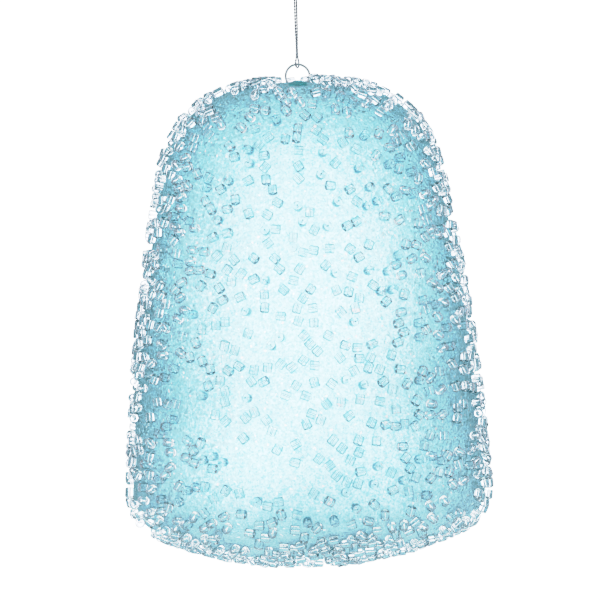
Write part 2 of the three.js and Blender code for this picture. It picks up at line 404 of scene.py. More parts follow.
def coat_rings(rng):
    """The coat's outer surface as rings of grainy points, from the pocket's wall to the base."""
    outline, normals = body_outline(0, POCKET_RADIUS, COAT_SPACING)
    wall_depths = [COAT_THICKNESS + 0.4 * MM, COAT_THICKNESS * 0.66, COAT_THICKNESS * 0.33]
    wall_z = outline[0, 1] - np.array(wall_depths)
    wall = np.stack([np.full(WALL_RINGS, POCKET_RADIUS), wall_z], axis=-1)
    outline = np.concatenate([wall, outline])
    normals = np.concatenate([np.tile([-1.0, 0.0], (WALL_RINGS, 1)), normals])
    rings = []
    for k, ((radius, z), (out, up)) in enumerate(zip(outline, normals)):
        count = max(3, round(2 * math.pi * radius / COAT_SPACING))
        jitter = rng.uniform(-POINT_JITTER, POINT_JITTER, count)
        turn = (np.arange(count) + jitter) / count * 2 * math.pi
        if radius < 1e-9:
            rings.append(np.array([[0, 0, z]]))
            continue
        aside = np.zeros(count)
        if WALL_RINGS < k < len(outline) - 2:
            aside = rng.uniform(-POINT_JITTER, POINT_JITTER, count) * COAT_SPACING
        # A step along the outline is the normal turned by a quarter.
        ring_radius, ring_z = radius + aside * up, z - aside * out
        ring = np.stack([ring_radius * np.cos(turn), ring_radius * np.sin(turn), ring_z], axis=-1)
        normal = np.stack([out * np.cos(turn), out * np.sin(turn), np.full(count, up)], axis=-1)
        swell = np.array([swell_at(p) for p in ring])
        rise = rng.uniform(-1, 1, count) * GRAIN_HEIGHT + swell * SWELL_HEIGHT
        if k < WALL_RINGS:
            rise = rise * 0.5
        rings.append(ring + rise[:, None] * normal)
    return rings


def make_coat():
    """The coat in two pieces that meet half way down, so that neither mesh is too large."""
    rings = coat_rings(np.random.default_rng(11))
    sizes = np.array([len(r) for r in rings])
    half = int(np.searchsorted(np.cumsum(sizes), sizes.sum() / 2))
    made = []
    halves = (("sugar_coat_upper", rings[: half + 1]), ("sugar_coat_lower", rings[half:]))
    for name, part in halves:
        starts = np.cumsum([0] + [len(r) for r in part[:-1]])
        triangles = []
        for k in range(len(part) - 1):
            if len(part[k + 1]) == 1:
                n = len(part[k])
                i = np.arange(n)
                fan = [starts[k] + i, np.full(n, starts[k + 1]), starts[k] + (i + 1) % n]
                triangles.append(np.stack(fan, axis=-1))
            else:
                triangles.append(zipped(len(part[k]), starts[k], len(part[k + 1]), starts[k + 1]))
        made.append(mesh_object(name, np.concatenate(part), triangles))
    return made


coat_upper, coat_lower = make_coat()


# ---------------------------------------------------------------- places on the coat
class CoatMap:
    """Turns a share of the coat's area and an angle about Z into a point and its directions."""

    def __init__(self):
        self.outline, self.normals = body_outline(0, POCKET_RADIUS, 0.25 * MM)
        steps = np.linalg.norm(np.diff(self.outline, axis=0), axis=1)
        middle = (self.outline[1:, 0] + self.outline[:-1, 0]) / 2
        areas = np.concatenate([[0], np.cumsum(2 * math.pi * middle * steps)])
        self.area = areas[-1]
        self.shares = areas / areas[-1]
        self.along = np.concatenate([[0], np.cumsum(steps)])

    def along_at(self, share):
        return np.interp(share, self.shares, self.along)

    def place(self, along, angle):
        """Points and three directions: round the body, down the outline, and outwards."""
        radius = np.interp(along, self.along, self.outline[:, 0])
        z = np.interp(along, self.along, self.outline[:, 1])
        out = np.interp(along, self.along, self.normals[:, 0])
        up = np.interp(along, self.along, self.normals[:, 1])
        size = np.hypot(out, up)
        out, up = out / size, up / size
        c, s = np.cos(angle), np.sin(angle)
        zero = np.zeros_like(c)
        point = np.stack([radius * c, radius * s, z], axis=-1)
        normal = np.stack([out * c, out * s, up], axis=-1)
        round_it = np.stack([-s, c, zero], axis=-1)
        return point, round_it, np.cross(normal, round_it), normal


coat_map = CoatMap()


# ---------------------------------------------------------------- sugar crystals
CRYSTALS_PER_MM2 = 0.42
# Half length, half width and height, in millimetres, from the least to the most.
CRYSTAL_LONG = (0.3, 0.62)
CRYSTAL_WIDE = (0.22, 0.42)
CRYSTAL_HIGH = (0.07, 0.19)
CRYSTAL_SUNK = 0.02 * MM
CRYSTAL_LEAN = 0.35
CRYSTAL_UNEVEN = 0.18
CRYSTAL_POINTS = np.array(
    [
        [1, 0, 0],
        [0.45, 0.55, 0.1],
        [0.5, 0, 0.6],
        [0.4, -0.5, 0.15],
        [-0.4, 0.5, 0.2],
        [-0.5, 0, 0.55],
        [-0.45, -0.55, 0.1],
        [-1, 0, 0],
    ],
    float,
)
CRYSTAL_FACES = np.array(
    [[0, 1, 2], [0, 2, 3], [1, 4, 5], [1, 5, 2], [2, 5, 6], [2, 6, 3], [4, 7, 5], [5, 7, 6]]
)


def make_crystals():
    """Short angular needles that lie all over the coat, their undersides sunk in it."""
    rng = np.random.default_rng(23)
    count = int(coat_map.area / MM**2 * CRYSTALS_PER_MM2)
    along = coat_map.along_at(rng.uniform(0.004, 1, count))
    point, right, down, normal = coat_map.place(along, rng.uniform(0, 2 * math.pi, count))
    turn = rng.uniform(0, 2 * math.pi, count)[:, None]
    x = np.cos(turn) * right + np.sin(turn) * down
    tilt = rng.normal(0, CRYSTAL_LEAN, count)[:, None]
    x = np.cos(tilt) * x + np.sin(tilt) * normal
    y = np.cross(normal, x)
    y /= np.linalg.norm(y, axis=1)[:, None]
    z = np.cross(x, y)
    long = rng.uniform(*CRYSTAL_LONG, count) * MM
    wide = rng.uniform(*CRYSTAL_WIDE, count) * MM
    high = rng.uniform(*CRYSTAL_HIGH, count) * MM
    uneven = rng.uniform(-CRYSTAL_UNEVEN, CRYSTAL_UNEVEN, (count, len(CRYSTAL_POINTS), 3))
    shape = CRYSTAL_POINTS[None] * (1 + uneven)
    points = (
        point[:, None]
        + shape[..., 0:1] * (long[:, None, None] * x[:, None])
        + shape[..., 1:2] * (wide[:, None, None] * y[:, None])
        + (shape[..., 2:3] * high[:, None, None] - CRYSTAL_SUNK) * z[:, None]
    ).reshape(-1, 3)
    starts = np.arange(count)[:, None, None] * len(CRYSTAL_POINTS)
    faces = (CRYSTAL_FACES[None] + starts).reshape(-1, 3)
    return mesh_object("sugar_crystals", points, [faces], smooth=False)


crystals = make_crystals()


# ---------------------------------------------------------------- glass beads
BEAD_RADIUS = 1.2 * MM
BEAD_HOLE = 0.17 * MM
BEAD_LENGTH = 2.3 * MM
BEAD_ROUNDING = 0.2 * MM
BEAD_SIDES = 14
BEAD_COUNT = 1650
BEAD_GROUPS = 4
CLUSTER_SIZES = (1, 2, 3, 4, 5, 6, 8)
CLUSTER_ODDS = (0.3, 0.22, 0.18, 0.13, 0.08, 0.06, 0.03)
# From one bead of a chain to the next: the step in millimetres, and the turn.
CHAIN_STEP = (2.45, 3.1)
CHAIN_TURNS = (0.0, 0.3, 0.8)
CHAIN_TURN_ODDS = (0.45, 0.3, 0.25)
CHAIN_WANDER = 0.7
# Most beads lie on their sides, and this share of them stands on end.
STANDING_SHARE = 0.17
STANDING_LEAN = 0.25
LYING_LEAN = 0.1
STANDING_SUNK = 0.05 * MM
LYING_SUNK = 0.04 * MM
BEAD_LENGTH_SPREAD = 0.08
BEAD_WIDTH_SPREAD = 0.05
# The ring, the pocket and a strip in front of them are left bare.
CLEAR_OF_RING = (4.8 * MM, 5.8 * MM)
BARE_STRIP = (3.9 * MM, 22 * MM)
CLEAR_OF_POCKET = 5.6 * MM
RING_REGION_DEPTH = 3.2 * MM
# Two beads whose middles are farther apart than this can't touch.
BEAD_REACH = 3.6 * MM


def overlaps(place, right, down, half, others):
    """True if a square footprint comes into another one, both seen along the first one's normal."""
    for other_place, other_right, other_down, other_half in others:
        apart = other_place - place
        for axis in (right, down, other_right, other_down):
            reach = half * (abs(axis @ right) + abs(axis @ down))
            other_reach = other_half * (abs(axis @ other_right) + abs(axis @ other_down))
            if abs(apart @ axis) > reach + other_reach:
                break
        else:
            return True
    return False


def bare(point):
    """True where no bead is glued: round the ring and in front of it."""
    x, y, z = point
    if z <= COAT_HIGH.z - RING_REGION_DEPTH:
        return False
    return (
        (abs(x) < CLEAR_OF_RING[0] and abs(y) < CLEAR_OF_RING[1])
        or math.hypot(x, y) < CLEAR_OF_POCKET
        or (abs(x) < BARE_STRIP[0] and -BARE_STRIP[1] < y < 0)
    )


def bead_places():
    """Where each bead sits, which way it points, and random numbers for its kind and size."""
    rng = np.random.default_rng(5)
    half = BEAD_RADIUS * 0.985
    places, found = [], np.zeros((0, 3))
    top_along = 1.2 * MM
    end_margin = 0.5 * MM
    while len(places) < BEAD_COUNT:
        size = int(rng.choice(CLUSTER_SIZES, p=CLUSTER_ODDS))
        along = float(coat_map.along_at(rng.uniform(0, 0.995)))
        angle = rng.uniform(0, 2 * math.pi)
        heading = rng.uniform(0, 2 * math.pi)
        spin = rng.uniform(0, math.pi)
        for _ in range(size):
            point, right, down, normal = coat_map.place(np.array(along), np.array(angle))
            turned_right = math.cos(spin) * right + math.sin(spin) * down
            turned_down = -math.sin(spin) * right + math.cos(spin) * down
            if not bare(point) and along > top_along:
                near = np.nonzero(((found - point) ** 2).sum(1) < BEAD_REACH**2)[0]
                close = [places[i][:4] for i in near]
                if not overlaps(point, turned_right, turned_down, half, close):
                    kind = rng.uniform()
                    chance = rng.uniform(size=4)
                    places.append((point, turned_right, turned_down, half, normal, kind, chance))
                    found = np.vstack([found, point])
            heading += rng.normal(0, CHAIN_WANDER)
            spin += rng.choice(CHAIN_TURNS, p=CHAIN_TURN_ODDS) * rng.choice([-1, 1])
            step = rng.uniform(*CHAIN_STEP) * MM
            radius = float(np.interp(along, coat_map.along, coat_map.outline[:, 0]))
            along = max(along + step * math.sin(heading), end_margin)
            along = min(along, coat_map.along[-1] - end_margin)
            angle += step * math.cos(heading) / max(radius, 3 * MM)
    return places[:BEAD_COUNT]


def bead_shape():
    """Points and quads of one short tube along Z with rounded ends."""
    half, rounding = BEAD_LENGTH / 2, BEAD_ROUNDING
    slope = rounding * 0.3
    profile = [
        (BEAD_HOLE, -half + rounding),
        (BEAD_HOLE + slope, -half + slope),
        (BEAD_HOLE + rounding, -half),
        (BEAD_RADIUS - rounding, -half),
        (BEAD_RADIUS - slope, -half + slope),
        (BEAD_RADIUS, -half + rounding),
        (BEAD_RADIUS, half - rounding),
        (BEAD_RADIUS - slope, half - slope),
        (BEAD_RADIUS - rounding, half),
        (BEAD_HOLE + rounding, half),
        (BEAD_HOLE + slope, half - slope),
        (BEAD_HOLE, half - rounding),
    ]
    points, _ = turned(profile, BEAD_SIDES)
    return points, ring_faces(len(profile), BEAD_SIDES, closed_rings=True)


def make_beads():
    places = bead_places()
    shape, quads = bead_shape()
    rng = np.random.default_rng(41)
    groups = [[] for _ in range(BEAD_GROUPS)]
    for point, right, down, _, normal, kind, chance in places:
        length = 1 + BEAD_LENGTH_SPREAD * (chance[0] - 0.5)
        width = 1 - BEAD_WIDTH_SPREAD * chance[1]
        if kind < STANDING_SHARE:
            height = BEAD_LENGTH / 2 * length - STANDING_SUNK
            lean = STANDING_LEAN * (chance[2] - 0.5)
            axis = math.cos(lean) * normal + math.sin(lean) * right
        else:
            lean = rng.normal(0, LYING_LEAN)
            axis = math.cos(lean) * right + math.sin(lean) * normal
            height = BEAD_RADIUS * width - LYING_SUNK + abs(math.sin(lean)) * 0.3 * MM
        aside = np.cross(axis, down)
        aside /= np.linalg.norm(aside)
        basis = np.stack([aside, np.cross(axis, aside), axis])
        sized = shape * np.array([width, width, length])
        turns = math.atan2(point[1], point[0]) / (2 * math.pi) + 0.5
        group = int(turns * BEAD_GROUPS) % BEAD_GROUPS
        groups[group].append(point + height * normal + sized @ basis)
    made = []
    for k, group in enumerate(groups):
        points = np.concatenate(group)
        faces = (quads[None] + np.arange(len(group))[:, None, None] * len(shape)).reshape(-1, 4)
        made.append(mesh_object("glass_beads_" + "abcdefgh"[k], points, [faces]))
    return made


beads = make_beads()


# ---------------------------------------------------------------- ring, peg and core
WIRE_RADIUS = 0.28 * MM
RING_MIDDLE_RADIUS = (RING_HIGH.x - RING_LOW.x) / 2 - WIRE_RADIUS
RING_CENTRE_Z = (RING_LOW.z + RING_HIGH.z) / 2
RING_SEAM_ANGLE = math.radians(-62)
RING_SEAM_GAP = math.radians(0.9)
RING_SEAM_STEP = 0.03 * MM
RING_OUT_OF_ROUND = 0.015 * MM
RING_SIDES = 18
RING_STEPS = 150


def make_ring():
    """A round wire bent into a ring, its cut ends a hair apart with a small step between them."""
    start = RING_SEAM_ANGLE + RING_SEAM_GAP / 2
    end = RING_SEAM_ANGLE - RING_SEAM_GAP / 2 + 2 * math.pi
    angle = np.linspace(start, end, RING_STEPS)
    share = np.linspace(0, 1, len(angle))
    radius = RING_MIDDLE_RADIUS + RING_OUT_OF_ROUND * np.cos(3 * angle)
    step = RING_SEAM_STEP * (2 * share - 1) ** 9
    line = np.stack([radius * np.cos(angle), step, RING_CENTRE_Z + radius * np.sin(angle)], axis=-1)
    _, across, up = frames_along(line)
    sides = RING_SIDES
    corner = np.linspace(0, 2 * math.pi, sides, endpoint=False)[None, :, None]
    round_it = np.cos(corner) * across[:, None] + np.sin(corner) * up[:, None]
    size = np.ones(len(line))
    size[[0, -1]] = 0.8
    ring = line[:, None] + WIRE_RADIUS * size[:, None, None] * round_it
    points = np.concatenate([ring.reshape(-1, 3), line[[0, -1]]])
    quads = ring_faces(len(line), sides)
    side = np.arange(sides)
    last = (len(line) - 1) * sides
    next_side = (side + 1) % sides
    first_middle, last_middle = np.full(sides, len(points) - 2), np.full(sides, len(points) - 1)
    first_cap = np.stack([side, first_middle, next_side], axis=-1)
    last_cap = np.stack([last + side, last + next_side, last_middle], axis=-1)
    return mesh_object("hanging_ring_wire", points, [quads, first_cap, last_cap])


EYE_RADIUS = 1.9 * MM
EYE_HALF_WIDTH = 1.85 * MM
EYE_HALF_THICKNESS = 0.75 * MM
EYE_CENTRE_Z = BODY_TOP_Z - 2.1 * MM
EYE_SIDES, EYE_SECTION_SIDES, STEM_SIDES = 48, 32, 40
FLANGE_RADIUS = 3.4 * MM
FLANGE_TOP_Z = BODY_TOP_Z - 2.7 * MM
FLANGE_THICKNESS = 1 * MM
STEM_RADIUS = 1.5 * MM
BARB_RADIUS = 2.1 * MM
BARB_COUNT = 4
BARB_PITCH = 3.4 * MM


def make_peg():
    """The moulded eye with its parting line, and the flange and barbed stem below it."""
    corner = np.linspace(0, 2 * math.pi, EYE_SECTION_SIDES, endpoint=False)
    ridge = 1 + 0.03 * np.exp(-((np.sin(corner) / 0.09) ** 2))
    thick = EYE_RADIUS + EYE_HALF_THICKNESS * ridge * np.cos(corner)
    section = np.stack([thick, EYE_HALF_WIDTH * np.sin(corner)], axis=-1)
    eye, _ = turned(section, EYE_SIDES)
    eye_quads = ring_faces(len(section), EYE_SIDES, closed_rings=True)
    eye = eye[:, [2, 1, 0]] * np.array([1, 1, -1]) + np.array([0, 0, EYE_CENTRE_Z])
    shoulder_z = FLANGE_TOP_Z - FLANGE_THICKNESS
    edge = 0.15 * MM
    outline = [
        (0, FLANGE_TOP_Z + 0.1 * MM),
        (2.2 * MM, FLANGE_TOP_Z + 0.05 * MM),
        (FLANGE_RADIUS - edge, FLANGE_TOP_Z),
        (FLANGE_RADIUS - 0.3 * edge, FLANGE_TOP_Z - 0.3 * edge),
        (FLANGE_RADIUS, FLANGE_TOP_Z - edge),
        (FLANGE_RADIUS, shoulder_z + edge),
        (FLANGE_RADIUS - edge, shoulder_z),
        (STEM_RADIUS + 0.3 * MM, shoulder_z),
        (STEM_RADIUS, shoulder_z - 0.3 * MM),
    ]
    for i in range(1, BARB_COUNT + 1):
        barb_z = shoulder_z - i * BARB_PITCH
        outline += [
            (STEM_RADIUS, barb_z + 0.5 * MM),
            (BARB_RADIUS, barb_z + 0.05 * MM),
            (BARB_RADIUS, barb_z - 0.05 * MM),
            (STEM_RADIUS, barb_z - 1.6 * MM),
        ]
    outline.append((0, shoulder_z - (BARB_COUNT + 1) * BARB_PITCH))
    parts = [(eye, eye_quads), turned(outline[::-1], STEM_SIDES)]
    points, quads = joined(parts)
    return mesh_object("hanger_peg_moulded", points, [quads])


CORE_CENTRE = np.array([0, 0, -0.1])
CORE_SIDES = 72
WALL_STEPS = 9
POCKET_FLOOR_STEPS = 6
FOAM_CELLS = 900
DIMPLE_WIDTH = 0.35
DIMPLE_DEPTH = 0.35 * MM


def make_core():
    """The foam block, dimpled all over like moulded beads of foam, with its pocket and bore."""
    inset = COAT_THICKNESS + 0.5 * MM
    outside, _ = body_outline(inset, POCKET_RADIUS, 2.5 * MM)
    floor_z = BODY_TOP_Z - POCKET_DEPTH
    bore_radius = BARB_RADIUS + 0.3 * MM
    bore_end_z = FLANGE_TOP_Z - FLANGE_THICKNESS - (BARB_COUNT + 1) * BARB_PITCH - 0.3 * MM
    wall_z = np.linspace(floor_z, outside[0, 1], WALL_STEPS, endpoint=False)
    wall = np.stack([np.full(WALL_STEPS, POCKET_RADIUS), wall_z], axis=-1)
    floor_radius = np.linspace(bore_radius, POCKET_RADIUS, POCKET_FLOOR_STEPS, endpoint=False)
    floor = np.stack([floor_radius, np.full(POCKET_FLOOR_STEPS, floor_z)], axis=-1)
    bore = np.array([(0, bore_end_z), (bore_radius, bore_end_z)])
    profile = np.concatenate([bore, floor, wall, outside])[::-1]
    points, quads = turned(profile, CORE_SIDES)
    shove = []
    for p in points:
        cell = noise.voronoi(Vector(p) * FOAM_CELLS)[0]
        shove.append(min(cell[1] - cell[0], DIMPLE_WIDTH) - DIMPLE_WIDTH)
    out = points - CORE_CENTRE
    out /= np.linalg.norm(out, axis=1)[:, None]
    points = points + np.array(shove)[:, None] * out * DIMPLE_DEPTH
    return mesh_object("foam_core_moulded", points, [quads])


ring = make_ring()
peg = make_peg()
core = make_core()

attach(ring, "ring")
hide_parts("hanging_ring")
for piece, cad_node, slot in (
    (peg, "hanger_peg", "peg"),
    (core, "foam_core", "foam"),
    (coat_upper, "sugar_coat", "coat"),
    (coat_lower, "sugar_coat", "coat"),
):
    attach(piece, "ornament")
    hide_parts(cad_node)
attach(crystals, "ornament")
bead_nodes = sorted(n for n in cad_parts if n.startswith("glass_bead_"))
for k, piece in enumerate(beads):
    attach(piece, "ornament")
    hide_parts(*bead_nodes[k :: len(beads)])


# ---------------------------------------------------------------- materials
def node(tree, kind, inputs=None, **settings):
    """A node with its settings, and its inputs set to values or linked to sockets."""
    made = tree.nodes.new(kind)
    for name, value in settings.items():
        setattr(made, name, value)
    for name, value in (inputs or {}).items():
        if isinstance(value, bpy.types.NodeSocket):
            tree.links.new(value, made.inputs[name])
        else:
            made.inputs[name].default_value = value
    return made


def new_material(name):
    made = bpy.data.materials.new(name)
    made.use_nodes = True
    tree = made.node_tree
    return made, tree, tree.nodes["Principled BSDF"]


def drive(tree, shader, **sockets):
    for name, value in sockets.items():
        socket = shader.inputs[name.replace("_", " ")]
        if isinstance(value, bpy.types.NodeSocket):
            tree.links.new(value, socket)
        else:
            socket.default_value = value


def ramp(tree, value, stops, interpolation="LINEAR"):
    made = node(tree, "ShaderNodeValToRGB", {"Fac": value})
    made.color_ramp.interpolation = interpolation
    elements = made.color_ramp.elements
    while len(elements) < len(stops):
        elements.new(0.5)
    for element, (position, colour) in zip(elements, stops):
        element.position = position
        element.color = (*colour, 1)
    return made.outputs["Color"]


def mixed(tree, factor, first, second):
    made = node(tree, "ShaderNodeMix", data_type="RGBA")
    for index, value in ((0, factor), (6, first), (7, second)):
        socket = made.inputs[index]
        if isinstance(value, bpy.types.NodeSocket):
            tree.links.new(value, socket)
        elif isinstance(value, (int, float)):
            socket.default_value = value
        else:
            socket.default_value = (*value, 1)
    return made.outputs[2]


def object_place(tree):
    return node(tree, "ShaderNodeTexCoord").outputs["Object"]


def noise_node(tree, where, **settings):
    return node(tree, "ShaderNodeTexNoise", {"Vector": where, **settings})


def maths(tree, operation, *values):
    return node(tree, "ShaderNodeMath", dict(enumerate(values)), operation=operation).outputs[0]


def vector_maths(tree, operation, inputs):
    return node(tree, "ShaderNodeVectorMath", inputs, operation=operation).outputs[0]


def mapped(tree, value, low=0.0, high=1.0, to_low=0.0, to_high=1.0, curve="LINEAR"):
    ends = {"From Min": low, "From Max": high, "To Min": to_low, "To Max": to_high}
    inputs = {"Value": value, **ends}
    return node(tree, "ShaderNodeMapRange", inputs, interpolation_type=curve).outputs[0]


def bumped(tree, height, strength, distance):
    inputs = {"Strength": strength, "Distance": distance, "Height": height}
    return node(tree, "ShaderNodeBump", inputs).outputs[0]


DYE = (0.29, 0.55, 0.67)
PALE_DYE = (0.40, 0.68, 0.79)
DEEP_DYE = (0.16, 0.40, 0.52)
GRANULE_SIZE = 0.5 * MM
GRANULE_TILT = 0.95
GLITTER_METALLIC = 0.4
COAT_GLITTER_SHARE = 0.015
CRYSTAL_GLITTER_SHARE = 0.03


# A darker teal patch lies on the coat in front of the ring.
PATCH_HALF_WIDTH = 2.1 * MM
PATCH_FRONT = 15 * MM
PATCH_DEPTH = 4 * MM
DARK_TEAL_PATCH = (0.002, 0.33, 0.38)


def dark_patch_share(tree, where):
    """1 on the darker teal patch, 0 away from it."""
    place = node(tree, "ShaderNodeSeparateXYZ", {"Vector": where}).outputs
    aside = maths(tree, "ABSOLUTE", place["X"])
    share = maths(tree, "GREATER_THAN", place["Z"], COAT_HIGH.z - PATCH_DEPTH)
    for value, none, full in (
        (aside, PATCH_HALF_WIDTH + 0.5 * MM, PATCH_HALF_WIDTH),
        (place["Y"], -PATCH_FRONT - 0.8 * MM, -PATCH_FRONT),
        (place["Y"], 1 * MM, -1 * MM),
    ):
        near = mapped(tree, value, none, full)
        share = maths(tree, "MULTIPLY", share, near)
    return share


def sugar_material(name, glitter_share):
    """Granules of dyed sugar under a frosty glaze, with a few bright tilted facets among them."""
    made, tree, shader = new_material(name)
    where = object_place(tree)
    cells = node(tree, "ShaderNodeTexVoronoi", {"Vector": where, "Scale": 1 / GRANULE_SIZE})
    chance = node(tree, "ShaderNodeSeparateColor", {"Color": cells.outputs["Color"]})
    facet = maths(tree, "GREATER_THAN", chance.outputs[0], 1 - glitter_share)
    shine = maths(tree, "MULTIPLY", facet, GLITTER_METALLIC)
    patches = noise_node(tree, where, Scale=2400.0, Detail=2.0, Roughness=0.6)
    tone = maths(tree, "MULTIPLY_ADD", chance.outputs[1], 0.45, patches.outputs["Fac"])
    dyed = ramp(tree, tone, [(0.48, DEEP_DYE), (0.72, DYE), (0.98, PALE_DYE)])
    tints = ramp(
        tree,
        chance.outputs[1],
        [
            (0.0, (0.80, 0.95, 1.0)),
            (0.3, (0.93, 0.97, 1.0)),
            (0.6, (1.0, 0.90, 0.94)),
            (0.8, (0.60, 0.85, 0.92)),
        ],
        "CONSTANT",
    )
    centred = vector_maths(tree, "SUBTRACT", {0: cells.outputs["Color"], 1: (0.5, 0.5, 0.5)})
    tilt = vector_maths(tree, "SCALE", {0: centred, "Scale": GRANULE_TILT})
    own = node(tree, "ShaderNodeNewGeometry").outputs["Normal"]
    leaning = vector_maths(tree, "ADD", {0: own, 1: tilt})
    leaning = vector_maths(tree, "NORMALIZE", {0: leaning})
    drive(
        tree,
        shader,
        Base_Color=mixed(tree, dark_patch_share(tree, where), mixed(tree, facet, dyed, tints), DARK_TEAL_PATCH),
        Metallic=shine,
        Roughness=mapped(tree, chance.outputs[2], to_low=0.5, to_high=0.8),
        Normal=leaning,
        Coat_Weight=0.7,
        Coat_Roughness=0.7,
        Coat_IOR=1.8,
    )
    return made


GLASS_TINT = (0.99, 1.0, 1.0)
# Near its edges a bead turns dark teal. This is partly the glass's own colour along the longer way
# through it, and mostly a painted shade standing in for the shade that falls round its edges.
RIM_TINT_AND_SHADE = (0.04, 0.15, 0.18)
RIM_SPAN = (0.26, 0.56)
DEEP_SHADOW = (0.05, 0.42, 0.50)
SHADOW_SPAN = (0.55, 0.85)


def glass_material():
    """Clear glass with faint streaks.

    Lamps shine through it, and take its colour where they strike it edge on.
    """
    made, tree, shader = new_material("bead_glass")
    where = object_place(tree)
    streaks = noise_node(tree, where, Scale=900.0, Detail=2.0, Distortion=1.2)
    clear = ramp(tree, streaks.outputs["Fac"], [(0.3, (0.96, 0.985, 1.0)), (0.7, (1.0, 1.0, 1.0))])
    facing = node(tree, "ShaderNodeLayerWeight", {"Blend": 0.5}).outputs["Facing"]
    rim, shadow_rim = (
        mapped(tree, facing, *span, curve="SMOOTHSTEP") for span in (RIM_SPAN, SHADOW_SPAN)
    )
    # Painted shade: the dark teal mixed in on the rims stands in for the shade round each bead's
    # edges.
    tint = mixed(tree, rim, clear, RIM_TINT_AND_SHADE)
    rough = mapped(tree, streaks.outputs["Fac"], 0.6, 0.85, to_high=0.05)
    bump = bumped(tree, streaks.outputs["Fac"], 0.12, 0.0001)
    drive(tree, shader, Base_Color=tint, Roughness=rough, Normal=bump)
    drive(tree, shader, Transmission_Weight=1.0, IOR=1.5)
    shadow = node(tree, "ShaderNodeLightPath").outputs["Is Shadow Ray"]
    shade = mixed(tree, shadow_rim, GLASS_TINT, DEEP_SHADOW)
    through = node(tree, "ShaderNodeBsdfTransparent", {"Color": shade})
    shaders = {0: shadow, 1: shader.outputs[0], 2: through.outputs[0]}
    mix = node(tree, "ShaderNodeMixShader", shaders)
    tree.links.new(mix.outputs[0], tree.nodes["Material Output"].inputs["Surface"])
    return made


def chrome_material():
    made, tree, shader = new_material("ring_chrome")
    where = object_place(tree)
    marks = noise_node(tree, where, Scale=2500.0, Detail=3.0)
    tone = ramp(tree, marks.outputs["Fac"], [(0.3, (0.56, 0.56, 0.57)), (0.65, (0.76, 0.76, 0.78))])
    rough = mapped(tree, marks.outputs["Fac"], to_low=0.08, to_high=0.22)
    bump = bumped(tree, marks.outputs["Fac"], 0.1, 0.00003)
    drive(tree, shader, Base_Color=tone, Metallic=0.8, Roughness=rough, Normal=bump)
    return made


def plastic_material():
    made, tree, shader = new_material("peg_plastic")
    where = object_place(tree)
    flow = noise_node(tree, where, Scale=420.0, Detail=3.0, Distortion=1.0)
    tone = ramp(tree, flow.outputs["Fac"], [(0.3, (0.006, 0.21, 0.26)), (0.7, (0.02, 0.33, 0.38))])
    rough = mapped(tree, flow.outputs["Fac"], to_low=0.16, to_high=0.34)
    bump = bumped(tree, flow.outputs["Fac"], 0.15, 0.00008)
    drive(tree, shader, Base_Color=tone, Roughness=rough, Normal=bump, IOR=1.49)
    return made


def foam_material():
    made, tree, shader = new_material("core_foam")
    where = object_place(tree)
    cells = node(
        tree, "ShaderNodeTexVoronoi", {"Vector": where, "Scale": 900.0}, feature="DISTANCE_TO_EDGE"
    ).outputs["Distance"]
    tone = ramp(tree, cells, [(0.0, (0.10, 0.38, 0.44)), (0.12, (0.30, 0.62, 0.68))])
    bump = bumped(tree, cells, 0.6, 0.0002)
    drive(tree, shader, Base_Color=tone, Roughness=0.75, Normal=bump)
    return made


def cord_material():
    made, tree, shader = new_material("cord_metallic")
    where = object_place(tree)
    wave = {"Vector": where, "Scale": 3000.0, "Distortion": 6.0, "Detail": 2.0}
    fibres = node(tree, "ShaderNodeTexWave", wave)
    spots = noise_node(tree, where, Scale=2600.0, Detail=2.0)
    share = maths(tree, "MULTIPLY", fibres.outputs["Fac"], spots.outputs["Fac"])
    silver = [(0.05, (0.04, 0.045, 0.06)), (0.28, (0.36, 0.39, 0.44)), (0.6, (0.68, 0.72, 0.78))]
    tone = ramp(tree, share, silver)
    bump = bumped(tree, fibres.outputs["Fac"], 0.5, 0.00004)
    drive(tree, shader, Base_Color=tone, Metallic=0.55, Roughness=0.42, Normal=bump)
    return made


def paint(pieces, material):
    for piece in pieces:
        piece.data.materials.clear()
        piece.data.materials.append(material)


paint([coat_upper, coat_lower], sugar_material("coat_sugar", COAT_GLITTER_SHARE))
paint([crystals], sugar_material("crystal_sugar", CRYSTAL_GLITTER_SHARE))
paint(beads, glass_material())
paint([ring], chrome_material())
paint([peg], plastic_material())
paint([core], foam_material())
paint([cord_strands, cord_loop, cord_knot], cord_material())


# ---------------------------------------------------------------- floor and light
FLOOR_Z = -0.6
FLOOR_HALF = 0.8
FLOOR_GLOW = 1.2
FLOOR_STEPS = 22
FLOOR_EDGE_FROM, FLOOR_EDGE_WIDTH, FLOOR_EDGE_DROP = 0.93, 0.07, 0.02


def make_floor():
    """A plain pale sheet on a light table below the hanging ornament, its edges turned down."""
    steps = np.linspace(-FLOOR_HALF, FLOOR_HALF, FLOOR_STEPS)
    x, y = np.meshgrid(steps, steps)
    edge = np.maximum(np.abs(x), np.abs(y)) / FLOOR_HALF
    z = FLOOR_Z - FLOOR_EDGE_DROP * np.maximum(edge - FLOOR_EDGE_FROM, 0) / FLOOR_EDGE_WIDTH
    points = np.stack([x, y, z], axis=-1).reshape(-1, 3)
    n = len(steps)
    i, j = np.meshgrid(np.arange(n - 1), np.arange(n - 1))
    first = (j * n + i).ravel()
    quads = np.stack([first, first + 1, first + n + 1, first + n], axis=-1)
    floor = mesh_object("floor_sheet", points, [quads])
    made, tree, shader = new_material("floor_paper")
    where = object_place(tree)
    mottle = noise_node(tree, where, Scale=60.0, Detail=4.0)
    tone = ramp(tree, mottle.outputs["Fac"], [(0.3, (0.86, 0.87, 0.88)), (0.7, (0.91, 0.91, 0.92))])
    drive(tree, shader, Base_Color=tone, Roughness=0.8)
    drive(tree, shader, Emission_Color=tone, Emission_Strength=FLOOR_GLOW)
    paint([floor], made)


LAMPS_AIM = Vector((0, 0, -0.1))


